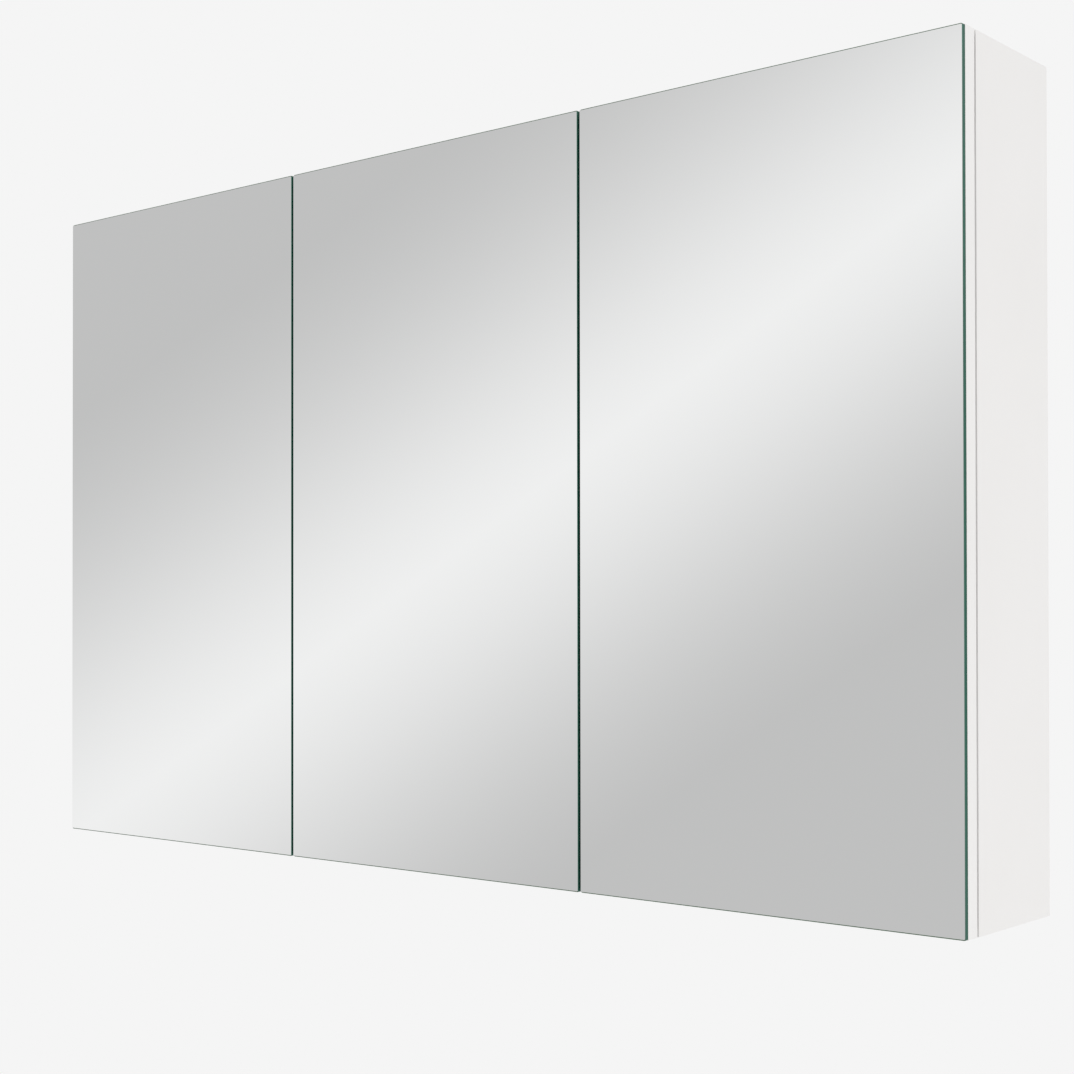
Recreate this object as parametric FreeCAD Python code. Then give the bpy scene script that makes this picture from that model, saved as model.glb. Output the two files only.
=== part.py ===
import FreeCAD, Part
import math
import os

# Three-door mirror cabinet for a wall. Millimetres, X to the viewer's right, Y to the wall, Z up.
# The origin is on the wall plane, in the middle of the wall plates' four screw holes.

# Overall size
CABINET_WIDTH = 1200.0
CABINET_HEIGHT = 745.0
CABINET_DEPTH = 160.0  # from the wall to the mirrors' faces
HOLE_DROP = 70.0  # from the cabinet's top down to the middle of the wall plates' holes

# Boards, glass and the gaps round the doors
BOARD = 16.0
DOOR_BOARD = 16.0
MIRROR = 5.0
MIRROR_ARRIS = 1.0  # bevel round the face of each mirror
DOOR_GAP = 3.0  # between neighbouring doors
DOOR_STANDOFF = 3.0  # between a closed door and the carcass
BACK_PANEL = 3.0
BACK_RECESS = 20.0  # hollow between the back panel and the wall
GROOVE_DEPTH = 7.0
GROOVE_FIT = 0.1

# Dowels that join the carcass
DOWEL_RADIUS = 4.0
DOWEL_IN_FACE = 11.0  # depth in the face of one board
DOWEL_IN_END = 19.0  # depth in the end of the other
DOWEL_INSET = 28.0  # from the carcass front, and from the back panel
DOWEL_FIT = 0.05

# Glass shelves and their pins
SHELF = 5.0
SHELF_ARRIS = 0.5  # bevel on every edge of the glass
SHELF_DEPTH = 98.0
SHELF_REAR_GAP = 2.0
SHELF_SIDE_GAP = 2.0
SHELF_LEVELS = ("lower", "upper")
SHELF_PIN_RADIUS = 2.5
SHELF_PIN_IN_BOARD = 7.0
SHELF_PIN_REACH = 9.0
SHELF_PIN_COLLAR_RADIUS = 4.0  # the collar keeps the shelf from sliding sideways
SHELF_PIN_COLLAR = 1.2
SHELF_PIN_INSET = 20.0  # from the shelf's front and rear edges
SHELF_PIN_FIT = 0.05
PIN_HOLE_PITCH = 32.0
SPARE_PIN_HOLES = 1  # above and below each shelf level

# Cup hinges: places are measured from the hinge edge of the door (x) and its back face (y)
HINGE_INSET = 100.0  # from the door's top and bottom to the hinge
OPENING = 95.0  # degrees
CUP_RADIUS = 17.5
CUP_DEPTH = 12.0
CUP_EDGE = 4.0  # board left between the cup hole and the door's edge
CUP_WALL = 0.9
CUP_FIT = 0.05
FLANGE = 1.0
FLANGE_END = 5.0  # from a cup screw to the end of the flange
FLANGE_OUTER = 7.5  # from the cup's centre towards the door's edge
FLANGE_INNER = 13.0
FLANGE_CORNER = 6.0
CUP_SCREW_SPACING = 48.0
CUP_SCREW_OFFSET = 6.0
ARM_OUTER_PIN = (33.3, 12.9)
ARM_INNER_PIN = (39.7, 15.9)
OUTER_PIN_OFFSET = 9.1  # from the cup's centre towards the door's edge
OUTER_PIN_DEPTH = 2.5
INNER_PIN_OFFSET = 5.7
INNER_PIN_LIFT = 3.25  # above the floor of the cup
OUTER_LINK_TURN = -0.511  # turn of the outer link for each degree of the door
INNER_LINK_TURN = -0.221
HINGE_PIN_RADIUS = 1.25
HINGE_PIN_FIT = 0.05
LINK_EYE = 2.8
LINK_WIDTH = 5.0
LINK_BULGE = 9.5  # sagitta of the outer link
INNER_LINK_EYE = 2.3
INNER_LINK_WIDTH = 3.4
INNER_LINK_BULGE = 7.0
SLOT_PLAY = 0.2
SLOT_WALL = 0.9

# Layers of the hinge on each side of its mid-plane
INNER_LINK_HALF = 1.6
LAYER_GAP = 0.3
LUG = 1.5
OUTER_LINK = 1.5
ARM_SHEET = 1.2

# Hinge arm and its mounting plate
PLATE_SETBACK = 37.0  # from the carcass front to the plate's screws
PLATE_SCREW_SPACING = 32.0
PLATE_SHEET = 2.0
PLATE_MARGIN = 2.0  # of the plate round its rail, in length and width
WING_END = 7.0  # from a plate screw to the end of the wing
WING_WIDTH = 12.0
WING_CORNER = 5.0
RAIL_LENGTH = 32.0
RAIL_HEIGHT = 12.0
ARM_FIT = 0.2  # between the rail and the arm's cheeks
ARM_NOSE = 3.6
ARM_SKIRT = 6.0  # how far the cheeks reach down beside the rail
ARM_NOSE_LENGTH = 8.0
ADJUSTER_SPACING = 12.0

# Screws
SCREW_HEAD_RADIUS = 3.4
SCREW_HEAD = 1.8
SCREW_RADIUS = 1.7
SCREW_GRIP = 10.0
SCREW_FIT = 0.05

# Soft buffers on the doors
BUFFER_RADIUS = 2.5
BUFFER_CLEARANCE = 0.2
BUFFER_INSET = 8.0

# Cabinet hangers and wall plates
HANGER_WIDTH = 20.0
HANGER_DEPTH = 44.0
HANGER_HEIGHT = 58.0
HANGER_CORNER = 3.0
HANGER_DROP = 4.0  # below the top panel
HANGER_FIT = 0.1
HANGER_PEG_RADIUS = 5.0
HANGER_PEG_LENGTH = 11.0
HANGER_PEG_SPACING = 32.0
HANGER_SCREW_SPACING = 16.0
HANGER_SCREW_DROP = 12.0
HANGER_SCREW_LENGTH = 14.0
HOOK_WIDTH = 14.0
HOOK_SHEET = 2.5
HOOK_REACH = 34.0  # inside the housing
HOOK_TIP_GAP = 1.5  # between the hook's tip and the bend of the wall plate
HOOK_WALL_GAP = 2.0
HOOK_NOTCH = 1.0
WALL_PLATE_WIDTH = 42.0
WALL_PLATE_SHEET = 2.0
WALL_PLATE_SIDE_GAP = 2.0
WALL_HOLE_SPACING = 28.0
WALL_HOLE_RADIUS = 3.25
WALL_PLATE_MARGIN = 9.0  # from a hole's centre to the end of the flat plate
HOOK_PLAY = 0.5  # between the hook's tip and the wall plate's lip
LIP = 12.0

# Places that follow from the sizes above
half_width = CABINET_WIDTH / 2
joggle = HOOK_WALL_GAP + HOOK_SHEET + HOOK_PLAY
top_z = HOLE_DROP
bottom_z = HOLE_DROP - CABINET_HEIGHT
inner_top_z = top_z - BOARD
inner_bottom_z = bottom_z + BOARD
door_back_y = -CABINET_DEPTH + MIRROR + DOOR_BOARD
carcass_front_y = door_back_y + DOOR_STANDOFF
back_front_y = -BACK_RECESS - BACK_PANEL
door_width = (CABINET_WIDTH - 2 * DOOR_GAP) / 3
partition_x = (door_width + DOOR_GAP) / 2
side_face_x = half_width - BOARD
lug_start = INNER_LINK_HALF + LAYER_GAP
lug_end = lug_start + LUG
outer_link_start = lug_end + LAYER_GAP
outer_link_end = outer_link_start + OUTER_LINK
arm_inner_half = outer_link_end + LAYER_GAP
arm_outer_half = arm_inner_half + ARM_SHEET
rail_half = arm_inner_half - ARM_FIT
cup_x = CUP_EDGE + CUP_RADIUS
cup_floor = -CUP_DEPTH + CUP_FIT + CUP_WALL
cup_outer_pin = (cup_x - OUTER_PIN_OFFSET, -OUTER_PIN_DEPTH)
cup_inner_pin = (cup_x - INNER_PIN_OFFSET, cup_floor + INNER_PIN_LIFT)


class Door:
    def __init__(self, name, left, hinged_right, panel_face):
        self.name = name
        self.left = left
        self.right = left + door_width
        self.hinged_right = hinged_right
        self.hinge_x = self.right if hinged_right else self.left
        self.free_x = self.left if hinged_right else self.right
        self.inward = -1 if hinged_right else 1
        self.overlay = abs(panel_face - self.hinge_x)  # how far the door covers its panel's edge


doors = [
    Door("left", -half_width, False, -side_face_x),
    Door("middle", -door_width / 2, False, -partition_x + BOARD / 2),
    Door("right", half_width - door_width, True, side_face_x),
]
hinge_heights = (bottom_z + HINGE_INSET, top_z - HINGE_INSET)
bays = {
    "left": (-side_face_x, -partition_x - BOARD / 2),
    "middle": (-partition_x + BOARD / 2, partition_x - BOARD / 2),
    "right": (partition_x + BOARD / 2, side_face_x),
}
shelf_pitch = (inner_top_z - inner_bottom_z) / (len(SHELF_LEVELS) + 1)
shelf_heights = [inner_bottom_z + shelf_pitch * (level + 1) for level in range(len(SHELF_LEVELS))]
shelf_rear_y = back_front_y - SHELF_REAR_GAP
shelf_front_y = shelf_rear_y - SHELF_DEPTH
shelf_pin_depths = (shelf_front_y + SHELF_PIN_INSET, shelf_rear_y - SHELF_PIN_INSET)


def vec(x, y, z):
    return FreeCAD.Vector(x, y, z)


def box(x0, x1, y0, y1, z0, z1):
    return Part.makeBox(x1 - x0, y1 - y0, z1 - z0, vec(x0, y0, z0))


def rod(x, y, z, axis, radius, length):
    return Part.makeCylinder(radius, length, vec(x, y, z), vec(*axis))


def joined(solids):
    whole, = solids[0].multiFuse(solids[1:]).removeSplitter().Solids
    return whole


def rounded(solid, direction, radius):
    # rounds the edges that run along one axis
    along = vec(*direction)
    edges = [edge for edge in solid.Edges if abs(abs(edge.tangentAt(edge.FirstParameter).dot(along)) - 1) < 1e-6]
    return solid.makeFillet(radius, edges)


def slab(outline, z0, z1):
    # a flat outline at z = 0 given a thickness
    solid = outline.extrude(vec(0, 0, z1 - z0))
    solid.translate(vec(0, 0, z0))
    return solid


def plate(outlines, holes, z0, z1):
    # overlapping outlines joined into one plate, with holes through it
    whole = joined([slab(outline, z0, z1) for outline in outlines])
    return whole.cut([slab(hole, z0, z1) for hole in holes]) if holes else whole


def both_sides(outlines, holes, z0, z1):
    return [plate(outlines, holes, z0, z1), plate(outlines, holes, -z1, -z0)]


def polygon(points):
    corners = [vec(x, y, 0) for x, y in points]
    return Part.Face(Part.makePolygon(corners + corners[:1]))


def disc(centre, radius):
    return Part.Face(Part.Wire(Part.makeCircle(radius, vec(centre[0], centre[1], 0))))


def straight_bar(start, end, half):
    # the outlines of a straight bar with round ends
    length = math.hypot(end[0] - start[0], end[1] - start[1])
    side = ((start[1] - end[1]) / length * half, (end[0] - start[0]) / length * half)
    middle = polygon([
        (start[0] + side[0], start[1] + side[1]),
        (end[0] + side[0], end[1] + side[1]),
        (end[0] - side[0], end[1] - side[1]),
        (start[0] - side[0], start[1] - side[1]),
    ])
    return [middle, disc(start, half), disc(end, half)]


def curved_bar(start, end, bulge, half):
    # a bar of even width along an arc that bulges to the right of the way from start to end
    chord = math.hypot(end[0] - start[0], end[1] - start[1])
    right = ((end[1] - start[1]) / chord, (start[0] - end[0]) / chord)
    radius = (chord ** 2 / 4 + bulge ** 2) / (2 * bulge)
    middle = ((start[0] + end[0]) / 2, (start[1] + end[1]) / 2)
    centre = [middle[i] + right[i] * (bulge - radius) for i in range(2)]
    crown = [middle[i] + right[i] * bulge for i in range(2)]

    def offset(point, distance):
        scale = (radius + distance) / radius
        return vec(*[centre[i] + (point[i] - centre[i]) * scale for i in range(2)], 0)

    outer = Part.Arc(*[offset(point, half) for point in (start, crown, end)]).toShape()
    inner = Part.Arc(*[offset(point, -half) for point in (end, crown, start)]).toShape()
    near_end = Part.LineSegment(offset(end, half), offset(end, -half)).toShape()
    near_start = Part.LineSegment(offset(start, -half), offset(start, half)).toShape()
    return Part.Face(Part.Wire([outer, near_end, inner, near_start]))


def turned(point, centre, degrees):
    # turns a point clockwise, seen from above
    angle = math.radians(degrees)
    dx = point[0] - centre[0]
    dy = point[1] - centre[1]
    x = centre[0] + dx * math.cos(angle) + dy * math.sin(angle)
    y = centre[1] - dx * math.sin(angle) + dy * math.cos(angle)
    return (x, y)


def on_open_door(point, opening):
    # where a point of the door lies once the door has turned
    on_link = turned(point, cup_outer_pin, (1 - OUTER_LINK_TURN) * opening)
    return turned(on_link, ARM_OUTER_PIN, OUTER_LINK_TURN * opening)


def at_hinge(shape, door, height):
    # a hinge on a right-hand edge is the same hinge upside down
    placed = shape.copy()
    if door.hinged_right:
        placed.rotate(vec(0, 0, 0), vec(0, 1, 0), 180)
    placed.translate(vec(door.hinge_x, door_back_y, height))
    return placed


def on_both_hinges(solids, door):
    return [at_hinge(solid, door, height) for height in hinge_heights for solid in solids]


def screw(x, y, z, axis, grip, fit=0.0):
    # a round-headed screw whose head rests at the point and whose shank runs along the axis
    back = [-SCREW_HEAD * part for part in axis]
    head = rod(x + back[0], y + back[1], z + back[2], axis, SCREW_HEAD_RADIUS, SCREW_HEAD)
    return joined([head, rod(x, y, z, axis, SCREW_RADIUS + fit, grip)])


# Carcass


def dowels(fit=0.0):
    radius = DOWEL_RADIUS + fit
    depths = (carcass_front_y + DOWEL_INSET, back_front_y - DOWEL_INSET)
    ends = []
    for y in depths:
        for z in (inner_top_z + BOARD / 2, inner_bottom_z - BOARD / 2):
            for side in (-1, 1):
                start = side * (side_face_x + DOWEL_IN_FACE + fit)
                ends.append(rod(start, y, z, (-side, 0, 0), radius, DOWEL_IN_FACE + DOWEL_IN_END + 2 * fit))
        for x in (-partition_x, partition_x):
            length = DOWEL_IN_FACE + DOWEL_IN_END + 2 * fit
            ends.append(rod(x, y, inner_top_z + DOWEL_IN_FACE + fit, (0, 0, -1), radius, length))
            ends.append(rod(x, y, inner_bottom_z - DOWEL_IN_FACE - fit, (0, 0, 1), radius, length))
    return ends


def shelf_peg(x, y, z, side, fit=0.0):
    # a peg in a board's face at x, reaching into the bay on the given side
    length = SHELF_PIN_IN_BOARD + SHELF_PIN_REACH
    return rod(x - side * SHELF_PIN_IN_BOARD, y, z, (side, 0, 0), SHELF_PIN_RADIUS + fit, length)


def shelf_pin(x, y, z, side):
    collar = rod(x, y, z, (side, 0, 0), SHELF_PIN_COLLAR_RADIUS, SHELF_PIN_COLLAR)
    return joined([shelf_peg(x, y, z, side), collar])


def bay_walls():
    # the two faces of each bay that carry pins, each with the side that its bay lies on
    return [(x, side) for bay in bays.values() for x, side in zip(bay, (1, -1))]


def shelf_pins():
    levels = [z - SHELF_PIN_RADIUS for z in shelf_heights]
    return [shelf_pin(x, y, z, side) for x, side in bay_walls() for y in shelf_pin_depths for z in levels]


def pin_holes():
    holes = []
    rows = range(-SPARE_PIN_HOLES, SPARE_PIN_HOLES + 1)
    for x, side in bay_walls():
        for y in shelf_pin_depths:
            for level in shelf_heights:
                for row in rows:
                    z = level - SHELF_PIN_RADIUS + row * PIN_HOLE_PITCH
                    holes.append(shelf_peg(x, y, z, side, SHELF_PIN_FIT))
    return holes


def back_groove():
    # the groove that runs round the carcass for the back panel
    reach_x = side_face_x + GROOVE_DEPTH
    y0 = back_front_y - GROOVE_FIT
    y1 = -BACK_RECESS + GROOVE_FIT
    return box(-reach_x, reach_x, y0, y1, inner_bottom_z - GROOVE_DEPTH, inner_top_z + GROOVE_DEPTH)


def drilled(board, cutters):
    near = [cutter for cutter in cutters if cutter.BoundBox.intersect(board.BoundBox)]
    return board.cut(near)


def carcass(plate_drillings, peg_drillings):
    across = (-side_face_x, side_face_x)
    tall = (inner_bottom_z, inner_top_z)
    boards = {
        "left_side_panel": box(-half_width, -side_face_x, carcass_front_y, 0, bottom_z, top_z),
        "right_side_panel": box(side_face_x, half_width, carcass_front_y, 0, bottom_z, top_z),
        "top_panel": box(*across, carcass_front_y, 0, inner_top_z, top_z),
        "bottom_panel": box(*across, carcass_front_y, 0, bottom_z, inner_bottom_z),
    }
    for name, x in (("left_partition", -partition_x), ("right_partition", partition_x)):
        boards[name] = box(x - BOARD / 2, x + BOARD / 2, carcass_front_y, back_front_y - GROOVE_FIT, *tall)
    cutters = dowels(DOWEL_FIT) + pin_holes() + plate_drillings + peg_drillings + [back_groove()]
    return {name: drilled(board, cutters) for name, board in boards.items()}


def back_panel():
    margin = GROOVE_DEPTH - GROOVE_FIT
    reach_x = side_face_x + margin
    panel = box(-reach_x, reach_x, back_front_y, -BACK_RECESS, inner_bottom_z - margin, inner_top_z + margin)
    notches = [on_side(hook_blank(HOOK_NOTCH), side) for side in (-1, 1)]
    return panel.cut(notches)


def shelf(bay, height):
    x0, x1 = bays[bay]
    glass = box(x0 + SHELF_SIDE_GAP, x1 - SHELF_SIDE_GAP, shelf_front_y, shelf_rear_y, height, height + SHELF)
    return glass.makeChamfer(SHELF_ARRIS, glass.Edges)


# Doors


def door_board(door):
    board = box(door.left, door.right, door_back_y - DOOR_BOARD, door_back_y, bottom_z, top_z)
    cup_hole = rod(cup_x, 0, 0, (0, -1, 0), CUP_RADIUS, CUP_DEPTH)
    return board.cut(on_both_hinges([cup_hole] + cup_screws(SCREW_FIT), door))


def mirror(door):
    front_y = -CABINET_DEPTH
    glass = box(door.left, door.right, front_y, front_y + MIRROR, bottom_z, top_z)
    front = [edge for edge in glass.Edges if abs(edge.BoundBox.YMax - front_y) < 1e-6]
    return glass.makeChamfer(MIRROR_ARRIS, front)


def buffers(door):
    # they close on the edge of the partition beside the door's free edge
    landing = (BOARD - DOOR_GAP) / 2
    x = door.free_x - door.inward * landing / 2
    length = DOOR_STANDOFF - BUFFER_CLEARANCE
    heights = (bottom_z + BUFFER_INSET, top_z - BUFFER_INSET)
    return [rod(x, door_back_y, z, (0, 1, 0), BUFFER_RADIUS, length) for z in heights]


# Cup hinge, in the hinge's own frame


def cup_screws(fit=0.0):
    x = cup_x + CUP_SCREW_OFFSET
    return [screw(x, FLANGE, z * CUP_SCREW_SPACING / 2, (0, -1, 0), FLANGE + SCREW_GRIP, fit) for z in (-1, 1)]


def cup_outer_stubs(fit=0.0):
    # two stubs from the cup's wall to the outer link's plates
    x, y = cup_outer_pin
    reach = CUP_RADIUS - CUP_FIT - CUP_WALL / 4
    far_side = abs(x - cup_x) + HINGE_PIN_RADIUS
    length = math.sqrt(reach ** 2 - far_side ** 2) - outer_link_start
    return [rod(x, y, side * outer_link_start, (0, 0, side), HINGE_PIN_RADIUS + fit, length) for side in (-1, 1)]


def cup_inner_rod(fit=0.0):
    x, y = cup_inner_pin
    return rod(x, y, -lug_end, (0, 0, 1), HINGE_PIN_RADIUS + fit, 2 * lug_end)


def hinge_cup():
    radius = CUP_RADIUS - CUP_FIT
    depth = CUP_DEPTH - CUP_FIT
    shell = rod(cup_x, 0, 0, (0, -1, 0), radius, depth)
    half_length = CUP_SCREW_SPACING / 2 + FLANGE_END
    wings = box(cup_x - FLANGE_OUTER, cup_x + FLANGE_INNER, 0, FLANGE, -half_length, half_length)
    wings = rounded(wings, (0, 1, 0), FLANGE_CORNER)
    rim = rod(cup_x, 0, 0, (0, 1, 0), CUP_RADIUS + FLANGE, FLANGE)
    rim = rim.cut(box(cup_x - 2 * CUP_RADIUS, cup_x - FLANGE_OUTER, 0, FLANGE, -2 * CUP_RADIUS, 2 * CUP_RADIUS))
    hollow = rod(cup_x, cup_floor, 0, (0, 1, 0), radius - CUP_WALL, depth + FLANGE)
    pressed = joined([shell, wings, rim]).cut(hollow)
    x, y = cup_inner_pin
    stem = polygon([(x - LINK_EYE, cup_floor), (x + LINK_EYE, cup_floor), (x + LINK_EYE, y), (x - LINK_EYE, y)])
    inside = rod(cup_x, cup_floor, 0, (0, 1, 0), radius, CUP_DEPTH)
    lugs = both_sides([stem, disc(cup_inner_pin, LINK_EYE)], [], lug_start, lug_end)
    lugs = [lug.common(inside) for lug in lugs]
    pins = cup_outer_stubs(HINGE_PIN_FIT) + [cup_inner_rod(HINGE_PIN_FIT)]
    return joined([pressed] + lugs).cut(pins + cup_screws(SCREW_FIT))


def outer_link():
    # two plates, one each side of the inner link
    pins = (ARM_OUTER_PIN, cup_outer_pin)
    bar = curved_bar(cup_outer_pin, ARM_OUTER_PIN, LINK_BULGE, LINK_WIDTH / 2)
    eyes = [disc(pin, LINK_EYE) for pin in pins]
    holes = [disc(pin, HINGE_PIN_RADIUS + HINGE_PIN_FIT) for pin in pins]
    return both_sides([bar] + eyes, holes, outer_link_start, outer_link_end)


def slot_line():
    # the straight middle line of the inner link's slot, and how far the arm's pin strays from it
    length = math.dist(ARM_INNER_PIN, cup_inner_pin)
    along = [(ARM_INNER_PIN[i] - cup_inner_pin[i]) / length for i in range(2)]
    reaches = []
    strays = []
    steps = 40
    for step in range(steps + 1):
        opening = OPENING * step / steps
        cup_pin = on_open_door(cup_inner_pin, opening)
        pin = turned(ARM_INNER_PIN, cup_pin, -INNER_LINK_TURN * opening)
        offset = [pin[i] - cup_pin[i] for i in range(2)]
        reaches.append(offset[0] * along[0] + offset[1] * along[1])
        strays.append(offset[1] * along[0] - offset[0] * along[1])
    stray = (max(strays) + min(strays)) / 2
    start = [cup_inner_pin[i] + along[i] * min(reaches) for i in range(2)]
    end = [cup_inner_pin[i] + along[i] * max(reaches) for i in range(2)]
    side = (-along[1] * stray, along[0] * stray)
    start = (start[0] + side[0], start[1] + side[1])
    end = (end[0] + side[0], end[1] + side[1])
    return start, end, (max(strays) - min(strays)) / 2


def inner_link():
    # its slot lets the arm's pin shift as the door turns
    start, end, stray = slot_line()
    slot_half = HINGE_PIN_RADIUS + stray + SLOT_PLAY
    bar = curved_bar(cup_inner_pin, start, INNER_LINK_BULGE, INNER_LINK_WIDTH / 2)
    outlines = [bar, disc(cup_inner_pin, INNER_LINK_EYE)] + straight_bar(start, end, slot_half + SLOT_WALL)
    holes = [disc(cup_inner_pin, HINGE_PIN_RADIUS + HINGE_PIN_FIT)] + straight_bar(start, end, slot_half)
    return [plate(outlines, holes, -INNER_LINK_HALF, INNER_LINK_HALF)]


def arm_pins(fit=0.0):
    pins = []
    for x, y in (ARM_OUTER_PIN, ARM_INNER_PIN):
        pins.append(rod(x, y, -arm_outer_half, (0, 0, 1), HINGE_PIN_RADIUS + fit, 2 * arm_outer_half))
    return pins


def plate_middle():
    return DOOR_STANDOFF + PLATE_SETBACK


def rail_top(door):
    return door.overlay + PLATE_SHEET + RAIL_HEIGHT


def adjuster_depths():
    # both screws stand on the flat of the arm, behind the slope up to its nose
    middle = plate_middle() + ARM_NOSE_LENGTH / 2
    return (middle - ADJUSTER_SPACING / 2, middle + ADJUSTER_SPACING / 2)


def adjusters(door, fit=0.0):
    # the front screw sets the door sideways and the rear one clamps the arm on its rail
    top = rail_top(door) + ARM_SHEET
    return [screw(top, y, 0, (-1, 0, 0), ARM_SHEET + RAIL_HEIGHT / 2, fit) for y in adjuster_depths()]


def hinge_arm(door):
    # a channel that sits over the rail and rises to the nose with the two pins; the slot in its tail
    # lets it slide off the clamping screw
    web_inner = rail_top(door)
    web_outer = web_inner + ARM_SHEET
    skirt = web_inner - ARM_SKIRT
    tail = plate_middle() + RAIL_LENGTH / 2
    neck = plate_middle() - RAIL_LENGTH / 2
    nose_back = ARM_INNER_PIN[1] + ARM_NOSE_LENGTH
    nose_top = ARM_INNER_PIN[0] + ARM_NOSE
    nose_foot = ARM_OUTER_PIN[0] - ARM_NOSE
    side = polygon([
        (nose_foot, ARM_OUTER_PIN[1]),
        (nose_top, ARM_INNER_PIN[1]),
        (nose_top, nose_back),
        (web_outer, neck + ARM_NOSE_LENGTH),
        (web_outer, tail),
        (skirt, tail),
        (skirt, neck),
        (nose_foot, nose_back),
    ])
    nose = straight_bar(ARM_OUTER_PIN, ARM_INNER_PIN, ARM_NOSE)
    hollow = polygon([
        (skirt - ARM_SKIRT, 0),
        (nose_top + ARM_SKIRT, 0),
        (nose_top + ARM_SKIRT, nose_back),
        (nose_top - ARM_SHEET, nose_back),
        (web_inner, neck + ARM_NOSE_LENGTH - ARM_SHEET / 2),
        (web_inner, tail + ARM_SKIRT),
        (skirt - ARM_SKIRT, tail + ARM_SKIRT),
    ])
    block = plate([side] + nose, [], -arm_outer_half, arm_outer_half)
    hollow = slab(hollow, -arm_inner_half, arm_inner_half)
    clamp_y = adjuster_depths()[1]
    slot_half = SCREW_RADIUS + SCREW_FIT
    slot = box(web_inner, web_outer, clamp_y, tail, -slot_half, slot_half)
    return block.cut([hollow, slot] + arm_pins(HINGE_PIN_FIT) + adjusters(door, SCREW_FIT))


def plate_screws(door, fit=0.0):
    top = door.overlay + PLATE_SHEET
    heights = (-PLATE_SCREW_SPACING / 2, PLATE_SCREW_SPACING / 2)
    return [screw(top, plate_middle(), z, (-1, 0, 0), PLATE_SHEET + SCREW_GRIP, fit) for z in heights]


def mounting_plate(door):
    face = door.overlay
    top = face + PLATE_SHEET
    middle = plate_middle()
    half_rail = RAIL_LENGTH / 2
    half_base = half_rail + PLATE_MARGIN
    base = box(face, top, middle - half_base, middle + half_base, -rail_half - PLATE_MARGIN, rail_half + PLATE_MARGIN)
    half_wing = PLATE_SCREW_SPACING / 2 + WING_END
    wings = box(face, top, middle - WING_WIDTH / 2, middle + WING_WIDTH / 2, -half_wing, half_wing)
    wings = rounded(wings, (1, 0, 0), WING_CORNER)
    rail = box(face, rail_top(door), middle - half_rail, middle + half_rail, -rail_half, rail_half)
    return joined([base, wings, rail]).cut(plate_screws(door, SCREW_FIT) + adjusters(door, SCREW_FIT))


# Hangers in the top corners, drawn for the right-hand side


def on_side(shape, side):
    return shape if side > 0 else shape.mirror(vec(0, 0, 0), vec(1, 0, 0))


def lip_top():
    return WALL_HOLE_SPACING / 2 + WALL_PLATE_MARGIN + joggle + LIP


def prism_x(points, x0, x1):
    corners = [vec(x0, y, z) for y, z in points]
    return Part.Face(Part.makePolygon(corners + corners[:1])).extrude(vec(x1 - x0, 0, 0))


def hook_blank(fit=0.0):
    # a strip that runs out of the housing, over the wall plate's lip and down behind it
    front_y = back_front_y - HOOK_REACH - fit
    tip_y = -HOOK_WALL_GAP + fit
    under = lip_top() - fit
    over = lip_top() + HOOK_SHEET + fit
    bend_y = -HOOK_WALL_GAP - HOOK_SHEET - fit
    tip = lip_top() - LIP + HOOK_TIP_GAP - fit
    middle = side_face_x - HANGER_WIDTH / 2
    outline = [(front_y, under), (front_y, over), (tip_y, over), (tip_y, tip), (bend_y, tip), (bend_y, under)]
    return prism_x(outline, middle - HOOK_WIDTH / 2 - fit, middle + HOOK_WIDTH / 2 + fit)


def hanger_pegs(fit=0.0):
    top = inner_top_z - HANGER_DROP
    y = back_front_y - HANGER_DEPTH / 2
    middle = top - HANGER_HEIGHT / 2
    heights = (middle - HANGER_PEG_SPACING / 2, middle + HANGER_PEG_SPACING / 2)
    return [rod(side_face_x, y, z, (1, 0, 0), HANGER_PEG_RADIUS + fit, HANGER_PEG_LENGTH + fit) for z in heights]


def hanger_screws(fit=0.0):
    # two adjusting screws in the front of the housing, below the hook
    x = side_face_x - HANGER_WIDTH / 2
    y = back_front_y - HANGER_DEPTH
    first = lip_top() - HANGER_SCREW_DROP
    return [screw(x, y, first - row * HANGER_SCREW_SPACING, (0, 1, 0), HANGER_SCREW_LENGTH, fit) for row in (0, 1)]


def hanger_housing():
    top = inner_top_z - HANGER_DROP
    body = box(side_face_x - HANGER_WIDTH, side_face_x, back_front_y - HANGER_DEPTH, back_front_y,
               top - HANGER_HEIGHT, top)
    front = [edge for edge in body.Edges if edge.BoundBox.YMax < back_front_y - HANGER_DEPTH / 2]
    shown = [edge for edge in front if edge.BoundBox.XMin < side_face_x - HANGER_FIT]
    body = body.makeFillet(HANGER_CORNER, shown)
    return joined([body] + hanger_pegs()).cut([hook_blank(HANGER_FIT)] + hanger_screws(SCREW_FIT))


def wall_plate():
    half_flat = WALL_HOLE_SPACING / 2 + WALL_PLATE_MARGIN
    sheet = WALL_PLATE_SHEET
    x1 = side_face_x - WALL_PLATE_SIDE_GAP
    x0 = x1 - WALL_PLATE_WIDTH
    outline = [
        (0, -half_flat),
        (0, half_flat),
        (-joggle, half_flat + joggle),
        (-joggle, lip_top()),
        (-joggle - sheet, lip_top()),
        (-joggle - sheet, half_flat + joggle),
        (-sheet, half_flat),
        (-sheet, -half_flat),
    ]
    x = (x0 + x1) / 2
    heights = (-WALL_HOLE_SPACING / 2, WALL_HOLE_SPACING / 2)
    holes = [rod(x, 0, z, (0, -1, 0), WALL_HOLE_RADIUS, sheet) for z in heights]
    return prism_x(outline, x0, x1).cut(holes)


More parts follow.
